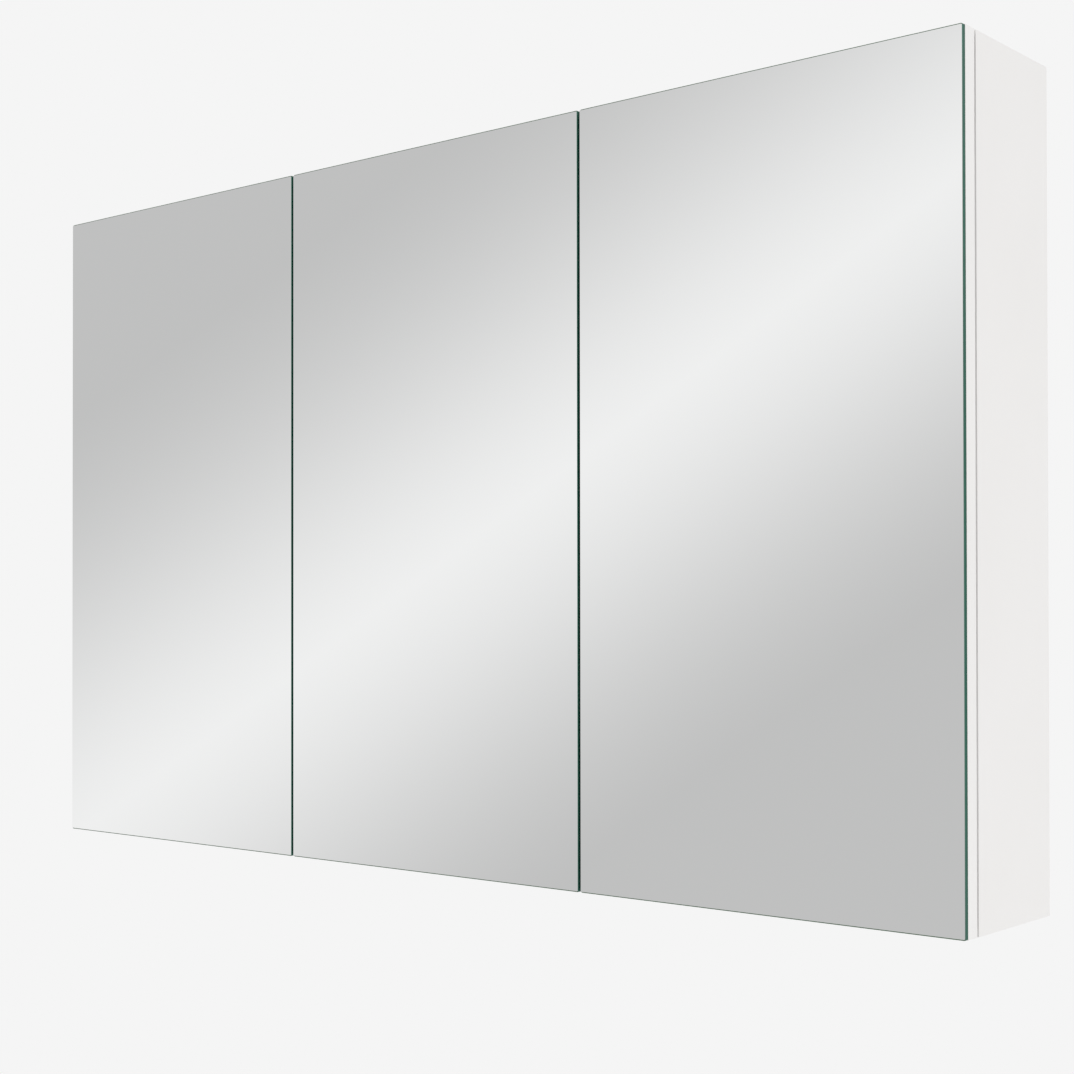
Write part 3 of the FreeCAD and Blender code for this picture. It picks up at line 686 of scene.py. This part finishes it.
def mirrorPiece(name, nodeName, body):
    low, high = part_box(nodeName)
    arris, side, rear = (mirrorSetup[key] for key in ("arris", "sideArris", "rearEase"))
    stations = [(low.y, side, arris), (low.y + side, 0, arris - side), (low.y + arris, 0, 0),
                (high.y - rear, 0, 0), (high.y, rear, rear)]
    looks = mirrorSetup["looks"]
    bm = glassPlate(low, high, stations, mirrorSetup)
    for face in bm.faces:
        sloped = face.material_index > 0 and face.normal.y < -mirrorSetup["slope"]
        if sloped and abs(face.normal.z) > abs(face.normal.x):
            face.material_index = looks.index("groundArris")  # along top and bottom
    addPiece(name, bm, looks, body, nodeName, weighted=False)


shelfSetup = {
    "axes": (0, 1, 2),
    "arris": 0.5 * mm,
    "corner": 1.2 * mm,
    "steps": 4,
    "margin": 4.8 * mm,
    "looks": ["shelfGlass", "shelfEdge"],
    "bands": (0, 1, 1, 1, 0),
}


def shelfPiece(name, nodeName):
    low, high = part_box(nodeName)
    arris = shelfSetup["arris"]
    stations = [(low.z, arris, arris), (low.z + arris, 0, 0), (high.z - arris, 0, 0), (high.z, arris, arris)]
    bm = glassPlate(low, high, stations, shelfSetup)
    addPiece(name, bm, shelfSetup["looks"], "root", nodeName, weighted=False)


bays = ("left", "middle", "right")
for bay in bays:
    mirrorPiece(bay + "Mirror", bay + "_mirror", bay + "_door")
    for level in ("lower", "upper"):
        shelfPiece(bay + level.capitalize() + "Shelf", f"{bay}_{level}_shelf")
print("glass: 3 mirrors, 6 shelves")


# hinges, from the six linkages of the frame
hinges = {
    "inward": {"left": 1, "middle": 1, "right": -1},  # the way in X that the arms' webs face
    "pressEase": 0.14 * mm,
    "plateEase": 0.35 * mm,
    "bend": 0.9 * mm,
    "bendSteps": 3,
    "bendLength": 2.0 * mm,  # shorter edges are no bends
    "armSharp": 55.0,
    "cheek": 0.9,  # how far a cheek faces up or down at least
    "web": 0.4,  # and the web its own way
}


def bendEdges(bm, inward):
    # the long edges where the arm's web turns down into its cheeks
    picked = []
    for edge in sharpEdges(bm):
        normals = [face.normal for face in edge.link_faces]
        cheek = any(abs(normal.z) > hinges["cheek"] for normal in normals)
        web = any(normal.x * inward > hinges["web"] for normal in normals)
        if cheek and web and edge.calc_length() > hinges["bendLength"]:
            picked.append(edge)
    return picked


def armPiece(name, nodeName, inward):
    bm = mergedCopy(nodeName)
    ease(bm, bendEdges(bm, inward), hinges["bend"], hinges["bendSteps"])
    ease(bm, sharpEdges(bm, hinges["armSharp"]), hinges["pressEase"], 1)
    addPiece(name, bm, ["hingeNickel"], "root", nodeName)


def hingePieces(side, inward):
    def pressed(name, part, body, radius):
        easedPiece(side + name, f"{side}_{part}", "hingeNickel", body, radius)

    pressed("HingeCups", "hinge_cups", side + "_door", hinges["pressEase"])
    pressed("OuterLinks", "outer_links", side + "_outer_links", hinges["pressEase"])
    pressed("InnerLinks", "inner_links", side + "_inner_links", hinges["pressEase"])
    armPiece(side + "HingeArms", side + "_hinge_arms", inward)
    pressed("HingePlates", "hinge_plates", "root", hinges["plateEase"])


for side, inward in hinges["inward"].items():
    hingePieces(side, inward)
print("hinges: 6 linkages")


# hangers in the top corners
hangers = {
    "sharp": 60.0,
    "housingEase": 0.4 * mm,
    "sheetEase": 0.25 * mm,
    "hookBend": 3.0 * mm,
    "hookSteps": 5,
    "plateBend": 1.6 * mm,
    "plateSteps": 4,
    "foldAngles": (30.0, 60.0),  # the wall plate's folds lie between these
}


def alongX(edge):
    way = edge.verts[1].co - edge.verts[0].co
    return abs(way.x) > meshing["square"] * way.length


def hookBends(bm, high):
    # the outer edge where the hook turns down behind the wall plate
    touch = meshing["touch"]
    picked = []
    for edge in sharpEdges(bm):
        atTopRear = all(high.y - vert.co.y < touch and high.z - vert.co.z < touch for vert in edge.verts)
        if atTopRear and alongX(edge):
            picked.append(edge)
    return picked


def plateFolds(bm):
    least, most = (math.radians(angle) for angle in hangers["foldAngles"])
    return [edge for edge in bm.edges
            if edge.is_manifold and alongX(edge) and least < edge.calc_face_angle() < most]


def sheetPiece(name, nodeName, bm):
    ease(bm, sharpEdges(bm, hangers["sharp"]), hangers["sheetEase"])
    addPiece(name, bm, ["zincSteel"], "root", nodeName)


def hangerPieces(side):
    easedPiece(side + "HangerHousing", side + "_hanger_housing", "hangerPlastic", "root",
               hangers["housingEase"], hangers["sharp"])
    hook = side + "_hanger_hook"
    bm = mergedCopy(hook)
    ease(bm, hookBends(bm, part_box(hook)[1]), hangers["hookBend"], hangers["hookSteps"])
    sheetPiece(side + "HangerHook", hook, bm)
    bm = mergedCopy(side + "_wall_plate")
    ease(bm, plateFolds(bm), hangers["plateBend"], hangers["plateSteps"])
    sheetPiece(side + "WallPlate", side + "_wall_plate", bm)


for side in ("left", "right"):
    hangerPieces(side)
print("hangers: 2, with wall plates")


# places of the small parts, read from the frame
def nearest(points):
    # the point nearest to the origin, as a key for a steady order
    point = min(points, key=lambda point: (round(point.length, 6), *point))
    return [round(value, 5) for value in point]


def islands(nodeName):
    bm = mergedCopy(nodeName)
    waiting = set(bm.verts)
    found = []
    while waiting:
        todo = [waiting.pop()]
        points = []
        while todo:
            vert = todo.pop()
            points.append(vert.co.copy())
            for edge in vert.link_edges:
                other = edge.other_vert(vert)
                if other in waiting:
                    waiting.remove(other)
                    todo.append(other)
        found.append(points)
    bm.free()
    return sorted(found, key=nearest)


def spanOf(points):
    low = Vector([min(point[axis] for point in points) for axis in range(3)])
    high = Vector([max(point[axis] for point in points) for axis in range(3)])
    return low, high


def longest(size):
    return max(range(3), key=lambda axis: size[axis])


def unit(axis, sign=1):
    return Vector([sign if i == axis else 0 for i in range(3)])


def offAxis(way, axis):
    flat = way.copy()
    flat[axis] = 0
    return flat.length


def seats(nodeName, rimShare=0.9):
    # for each screw: where its head rests, the way that it faces, and its whole length
    spots = []
    for points in islands(nodeName):
        low, high = spanOf(points)
        size = high - low
        axis = longest(size)
        centre = (low + high) / 2
        reach = [offAxis(point - centre, axis) for point in points]
        rim = rimShare * max(reach)
        wide = [point[axis] for point, far in zip(points, reach) if far > rim]
        facing = 1 if sum(wide) / len(wide) > centre[axis] else -1
        seat = centre.copy()
        seat[axis] = min(wide) if facing > 0 else max(wide)
        spots.append((seat, unit(axis, facing), size[axis]))
    return spots


def rods(nodeName, axis=None):
    # for each plain rod: its lower end, its direction and its length
    spots = []
    for points in islands(nodeName):
        low, high = spanOf(points)
        size = high - low
        way = longest(size) if axis is None else axis
        foot = (low + high) / 2
        foot[way] = low[way]
        spots.append((foot, unit(way), size[way]))
    return spots


# geometry nodes for what repeats
def newTree(name, sizes):
    tree = bpy.data.node_groups.new(name, "GeometryNodeTree")
    tree.is_modifier = True
    tree.interface.new_socket("Points", in_out="INPUT", socket_type="NodeSocketGeometry")
    for label, value in sizes.items():
        kind = "NodeSocketInt" if isinstance(value, int) else "NodeSocketFloat"
        tree.interface.new_socket(label, in_out="INPUT", socket_type=kind).default_value = value
    tree.interface.new_socket("Finish", in_out="INPUT", socket_type="NodeSocketMaterial")
    tree.interface.new_socket("Mesh", in_out="OUTPUT", socket_type="NodeSocketGeometry")
    return tree, addNode(tree, "NodeGroupInput").outputs


def joined(tree, parts):
    both = addNode(tree, "GeometryNodeJoinGeometry")
    for part in parts:
        tree.links.new(part, both.inputs[0])
    return both.outputs[0]


def moved(tree, geometry, rise=None, turn=(0, 0, 0)):
    place = addNode(tree, "GeometryNodeTransform", None, {"Rotation": turn})
    tree.links.new(geometry, place.inputs["Geometry"])
    if rise is not None:
        tree.links.new(vectorNode(tree, z=rise), place.inputs["Translation"])
    return place.outputs["Geometry"]


def turnedStack(tree, sides, radius, stages):
    # a turned form: each stage rises by a height and then widens or narrows its top
    disc = addNode(tree, "GeometryNodeMeshCircle", {"fill_type": "NGON"})
    feed(tree, disc.inputs["Vertices"], sides)
    feed(tree, disc.inputs["Radius"], radius)
    base = addNode(tree, "GeometryNodeFlipFaces")
    tree.links.new(disc.outputs["Mesh"], base.inputs["Mesh"])
    mesh = disc.outputs["Mesh"]
    top = None
    for height, widen in stages:
        raised = addNode(tree, "GeometryNodeExtrudeMesh", {"mode": "FACES"}, {"Individual": False})
        tree.links.new(mesh, raised.inputs["Mesh"])
        if top is not None:
            tree.links.new(top, raised.inputs["Selection"])
        feed(tree, raised.inputs["Offset Scale"], height)
        mesh, top = raised.outputs["Mesh"], raised.outputs["Top"]
        if widen != 1:
            scaled = addNode(tree, "GeometryNodeScaleElements", {"domain": "FACE"})
            tree.links.new(mesh, scaled.inputs["Geometry"])
            tree.links.new(top, scaled.inputs["Selection"])
            feed(tree, scaled.inputs["Scale"], widen)
            mesh = scaled.outputs["Geometry"]
    closed = addNode(tree, "GeometryNodeMergeByDistance", None, {"Distance": meshing["sliver"]})
    tree.links.new(joined(tree, [base.outputs["Mesh"], mesh]), closed.inputs["Geometry"])
    return closed.outputs["Geometry"]


def setOnPoints(tree, sockets, geometry):
    axis = addNode(tree, "GeometryNodeInputNamedAttribute", {"data_type": "FLOAT_VECTOR"}, {"Name": "axis"})
    turn = addNode(tree, "GeometryNodeInputNamedAttribute", {"data_type": "FLOAT"}, {"Name": "turn"})
    aim = addNode(tree, "FunctionNodeAlignRotationToVector", {"axis": "Z"})
    tree.links.new(axis.outputs["Attribute"], aim.inputs["Vector"])
    rotate = addNode(tree, "FunctionNodeRotateRotation", {"rotation_space": "LOCAL"})
    tree.links.new(aim.outputs["Rotation"], rotate.inputs["Rotation"])
    tree.links.new(vectorNode(tree, z=turn.outputs["Attribute"]), rotate.inputs["Rotate By"])
    copies = addNode(tree, "GeometryNodeInstanceOnPoints")
    tree.links.new(sockets["Points"], copies.inputs["Points"])
    tree.links.new(geometry, copies.inputs["Instance"])
    tree.links.new(rotate.outputs["Rotation"], copies.inputs["Rotation"])
    real = addNode(tree, "GeometryNodeRealizeInstances")
    tree.links.new(copies.outputs["Instances"], real.inputs["Geometry"])
    dress = addNode(tree, "GeometryNodeSetMaterial")
    tree.links.new(real.outputs["Geometry"], dress.inputs["Geometry"])
    tree.links.new(sockets["Finish"], dress.inputs["Material"])
    output = addNode(tree, "NodeGroupOutput")
    tree.links.new(dress.outputs["Geometry"], output.inputs[0])


turnStep = 1.7  # radians from one to the next, so that no two screws stop alike


def growPiece(name, tree, sizes, spots, look, body, nodeName):
    mesh = bpy.data.meshes.new(name)
    mesh.from_pydata([spot[0] for spot in spots], [], [])
    axes = mesh.attributes.new("axis", "FLOAT_VECTOR", "POINT")
    axes.data.foreach_set("vector", [value for spot in spots for value in spot[1]])
    turns = mesh.attributes.new("turn", "FLOAT", "POINT")
    turns.data.foreach_set("value", [turnStep * i % math.tau for i in range(len(spots))])
    piece = bpy.data.objects.new(name, mesh)
    scene.collection.objects.link(piece)
    grow = piece.modifiers.new(name, "NODES")
    grow.node_group = tree
    values = {**sizes, "Finish": finishes[look]}
    for item in tree.interface.items_tree:
        if item.in_out == "INPUT" and item.name in values:
            grow[item.identifier] = values[item.name]
    settle(piece)
    shadeSmooth(piece.data, meshing["turnedSmooth"])
    claim(piece, body, nodeName)


# screws with a domed head, cross recess and thread
screws = {
    "sizes": {
        "Head radius": 3.4 * mm, "Head height": 1.8 * mm,
        "Shank radius": 1.4 * mm, "Shank length": 12.0 * mm, "Tip": 0.2,
        "Thread radius": 0.3 * mm, "Thread pitch": 1.3 * mm,
        "Recess length": 3.6 * mm, "Recess width": 0.75 * mm, "Recess depth": 1.0 * mm, "Sides": 28,
    },
    "foot": 0.95,  # underside of the head, as a share of its radius
    # share of the head's height, and the widening over it
    "dome": ((0.08, 1 / 0.95), (0.40, 1), (0.26, 0.93), (0.17, 0.84), (0.09, 0.70)),
    "straight": 0.82,  # shares of the shank
    "point": 0.18,
    "shankSides": 16,
    "threadSteps": 14,
    "threadSides": 3,
    "adjuster": {"Tip": 0.85, "Thread pitch": 0.8 * mm},  # what differs from a wood screw
    "hanger": {"Tip": 0.85, "Thread pitch": 1.0 * mm},
}


def screwHead(tree, size):
    height = size["Head height"]
    foot = mathNode(tree, "MULTIPLY", size["Head radius"], screws["foot"])
    stages = [(mathNode(tree, "MULTIPLY", height, share), widen) for share, widen in screws["dome"]]
    head = turnedStack(tree, size["Sides"], foot, stages)
    deep = mathNode(tree, "MULTIPLY", size["Recess depth"], 2.0)
    bar = addNode(tree, "GeometryNodeMeshCube")
    span = vectorNode(tree, x=size["Recess length"], y=size["Recess width"], z=deep)
    tree.links.new(span, bar.inputs["Size"])
    for turn in (0, math.pi / 2):
        cut = addNode(tree, "GeometryNodeMeshBoolean", {"operation": "DIFFERENCE", "solver": "EXACT"})
        tree.links.new(head, cut.inputs["Mesh 1"])
        tree.links.new(moved(tree, bar.outputs["Mesh"], height, (0, 0, turn)), cut.inputs["Mesh 2"])
        head = cut.outputs["Mesh"]
    return head


def screwThread(tree, size, length):
    spiral = addNode(tree, "GeometryNodeCurveSpiral", None, {"Resolution": screws["threadSteps"]})
    tree.links.new(mathNode(tree, "DIVIDE", length, size["Thread pitch"]), spiral.inputs["Rotations"])
    tree.links.new(size["Shank radius"], spiral.inputs["Start Radius"])
    tree.links.new(size["Shank radius"], spiral.inputs["End Radius"])
    tree.links.new(length, spiral.inputs["Height"])
    ridge = addNode(tree, "GeometryNodeCurvePrimitiveCircle", None, {"Resolution": screws["threadSides"]})
    tree.links.new(size["Thread radius"], ridge.inputs["Radius"])
    thread = addNode(tree, "GeometryNodeCurveToMesh", None, {"Fill Caps": True})
    tree.links.new(spiral.outputs["Curve"], thread.inputs["Curve"])
    tree.links.new(ridge.outputs["Curve"], thread.inputs["Profile Curve"])
    return moved(tree, thread.outputs["Mesh"], mathNode(tree, "MULTIPLY", length, -1.0))


def screwTree():
    tree, size = newTree("domedScrew", screws["sizes"])
    head = screwHead(tree, size)
    straight = mathNode(tree, "MULTIPLY", size["Shank length"], screws["straight"])
    point = mathNode(tree, "MULTIPLY", size["Shank length"], screws["point"])
    stages = [(straight, 1), (point, size["Tip"])]
    shank = turnedStack(tree, screws["shankSides"], size["Shank radius"], stages)
    shank = moved(tree, shank, None, (math.pi, 0, 0))
    setOnPoints(tree, size, joined(tree, [head, shank, screwThread(tree, size, straight)]))
    return tree


def screwPieces(tree):
    kinds = [(side + "CupScrews", side + "_cup_screws", side + "_door", {}) for side in bays]
    kinds.append(("plateScrews", "hinge_plate_screws", "root", {}))
    kinds.append(("armAdjusters", "hinge_adjusters", "root", screws["adjuster"]))
    kinds.append(("hangerScrews", "hanger_screws", "root", screws["hanger"]))
    for name, nodeName, body, changes in kinds:
        spots = seats(nodeName)
        length = spots[0][2] - screws["sizes"]["Head height"]
        sizes = {**screws["sizes"], **changes, "Shank length": length}
        growPiece(name, tree, sizes, spots, "zincSteel", body, nodeName)


# shelf pins with a collar
shelfPins = {
    "sizes": {
        "Radius": 2.5 * mm, "In board": 7.0 * mm, "Reach": 9.0 * mm, "Collar radius": 4.0 * mm,
        "Collar": 1.2 * mm, "Round": 0.5 * mm, "Sides": 24,
    },
    "collarStraight": 0.75,  # shares of the collar's thickness
    "collarSlope": 0.25,
    "collarFront": 0.94,  # narrowing over that slope
    "endFront": 0.93,  # narrowing over half of the rounded end
}


def shelfPinTree():
    tree, size = newTree("collaredPin", shelfPins["sizes"])
    slim = mathNode(tree, "SUBTRACT", size["Radius"], size["Round"])
    back = mathNode(tree, "DIVIDE", size["Radius"], slim)
    flare = mathNode(tree, "DIVIDE", size["Collar radius"], size["Radius"])
    waist = mathNode(tree, "DIVIDE", size["Radius"], size["Collar radius"])
    front = mathNode(tree, "DIVIDE", slim, size["Radius"])
    sunk = mathNode(tree, "SUBTRACT", size["In board"], size["Round"])
    past = mathNode(tree, "SUBTRACT", size["Reach"], size["Collar"])
    out = mathNode(tree, "SUBTRACT", past, size["Round"])
    soft = mathNode(tree, "MULTIPLY", size["Round"], 0.5)
    straight = mathNode(tree, "MULTIPLY", size["Collar"], shelfPins["collarStraight"])
    slope = mathNode(tree, "MULTIPLY", size["Collar"], shelfPins["collarSlope"])
    narrow, tip = shelfPins["collarFront"], shelfPins["endFront"]
    stages = [
        (size["Round"], back), (sunk, 1), (0.0, flare), (straight, 1), (slope, narrow),
        (0.0, mathNode(tree, "DIVIDE", waist, narrow)), (out, 1), (soft, tip),
        (soft, mathNode(tree, "DIVIDE", front, tip)),
    ]
    pin = turnedStack(tree, size["Sides"], slim, stages)
    setOnPoints(tree, size, moved(tree, pin, mathNode(tree, "MULTIPLY", size["In board"], -1.0)))
    return tree


def shelfPinSpots():
    # where the collar meets the board, and the way in X that the pin reaches out
    rim = (shelfPins["sizes"]["Radius"] + shelfPins["sizes"]["Collar radius"]) / 2
    spots = []
    for points in islands("shelf_pins"):
        low, high = spanOf(points)
        centre = (low + high) / 2
        wide = [point.x for point in points if abs(point.z - centre.z) > rim]
        ends = (min(wide), max(wide))
        facing = 1 if ends[0] - low.x < high.x - ends[1] else -1
        face = ends[0] if facing > 0 else ends[1]
        spots.append((Vector((face, centre.y, centre.z)), unit(0, facing)))
    return spots


# plain pins with domed ends, in the hinges
rivets = {
    "sizes": {"Radius": 1.25 * mm, "Length": 13.4 * mm, "Dome": 0.25 * mm, "Sides": 20},
    "crown": 0.6,  # shares of the radius at the dome's top
    "shoulder": 0.88,  # and half way up
}


def rivetTree():
    tree, size = newTree("domedRivet", rivets["sizes"])
    crown, shoulder = rivets["crown"], rivets["shoulder"]
    straight = mathNode(tree, "SUBTRACT", size["Length"], mathNode(tree, "MULTIPLY", size["Dome"], 2.0))
    start = mathNode(tree, "MULTIPLY", size["Radius"], crown)
    half = mathNode(tree, "MULTIPLY", size["Dome"], 0.5)
    stages = [(half, shoulder / crown), (half, 1 / shoulder), (straight, 1), (half, shoulder),
              (half, crown / shoulder)]
    setOnPoints(tree, size, turnedStack(tree, size["Sides"], start, stages))
    return tree


# fluted dowels
dowels = {
    "sizes": {"Radius": 4.0 * mm, "Length": 30.0 * mm, "Chamfer": 1.0 * mm, "Flute": 0.25 * mm, "Flutes": 18},
}


def dowelTree():
    tree, size = newTree("flutedDowel", dowels["sizes"])
    sides = mathNode(tree, "MULTIPLY", size["Flutes"], 2)
    slim = mathNode(tree, "SUBTRACT", size["Radius"], size["Chamfer"])
    widen = mathNode(tree, "DIVIDE", size["Radius"], slim)
    narrow = mathNode(tree, "DIVIDE", slim, size["Radius"])
    ends = mathNode(tree, "MULTIPLY", size["Chamfer"], 2.0)
    straight = mathNode(tree, "SUBTRACT", size["Length"], ends)
    rod = turnedStack(tree, sides, slim, [(size["Chamfer"], widen), (straight, 1), (size["Chamfer"], narrow)])
    split = splitNode(tree, addNode(tree, "GeometryNodeInputPosition").outputs[0])
    angle = mathNode(tree, "ARCTAN2", split["Y"], split["X"])
    wave = mathNode(tree, "COSINE", mathNode(tree, "MULTIPLY", angle, size["Flutes"]))
    inward = mathNode(tree, "MULTIPLY", mathNode(tree, "SUBTRACT", wave, 1.0), size["Flute"])
    share = mathNode(tree, "DIVIDE", inward, mathNode(tree, "MULTIPLY", size["Radius"], 2.0))
    push = addNode(tree, "ShaderNodeVectorMath", {"operation": "SCALE"})
    tree.links.new(vectorNode(tree, x=split["X"], y=split["Y"]), push.inputs[0])
    tree.links.new(share, push.inputs["Scale"])
    fluted = addNode(tree, "GeometryNodeSetPosition")
    tree.links.new(rod, fluted.inputs["Geometry"])
    tree.links.new(push.outputs[0], fluted.inputs["Offset"])
    setOnPoints(tree, size, fluted.outputs["Geometry"])
    return tree


# soft domes that the doors close on
buffers = {
    "sizes": {"Radius": 2.5 * mm, "Height": 2.8 * mm, "Sides": 28},
    # share of the height, and the narrowing over it
    "dome": ((0.10, 1), (0.34, 0.97), (0.24, 0.90), (0.17, 0.78), (0.10, 0.62), (0.05, 0.45)),
}


def bufferTree():
    tree, size = newTree("domeBuffer", buffers["sizes"])
    height = size["Height"]
    stages = [(mathNode(tree, "MULTIPLY", height, share), narrow) for share, narrow in buffers["dome"]]
    setOnPoints(tree, size, turnedStack(tree, size["Sides"], size["Radius"], stages))
    return tree


screwPieces(screwTree())
growPiece("shelfPins", shelfPinTree(), shelfPins["sizes"], shelfPinSpots(),
          "hingeNickel", "root", "shelf_pins")
growPiece("carcassDowels", dowelTree(), dowels["sizes"], rods("carcass_dowels"),
          "beechWood", "root", "carcass_dowels")
growPiece("armPins", rivetTree(), rivets["sizes"], rods("hinge_arm_pins", axis=2),
          "hingeNickel", "root", "hinge_arm_pins")
domes = bufferTree()
for bay in bays:
    growPiece(bay + "DoorBuffers", domes, buffers["sizes"], rods(bay + "_door_buffers", axis=1),
              "bufferSilicone", bay + "_door", bay + "_door_buffers")
    nodes[bay + "_cup_pins"].material_slots[0].material = finishes["hingeNickel"]
print("small parts: screws, shelf pins, dowels, rivets, buffers")
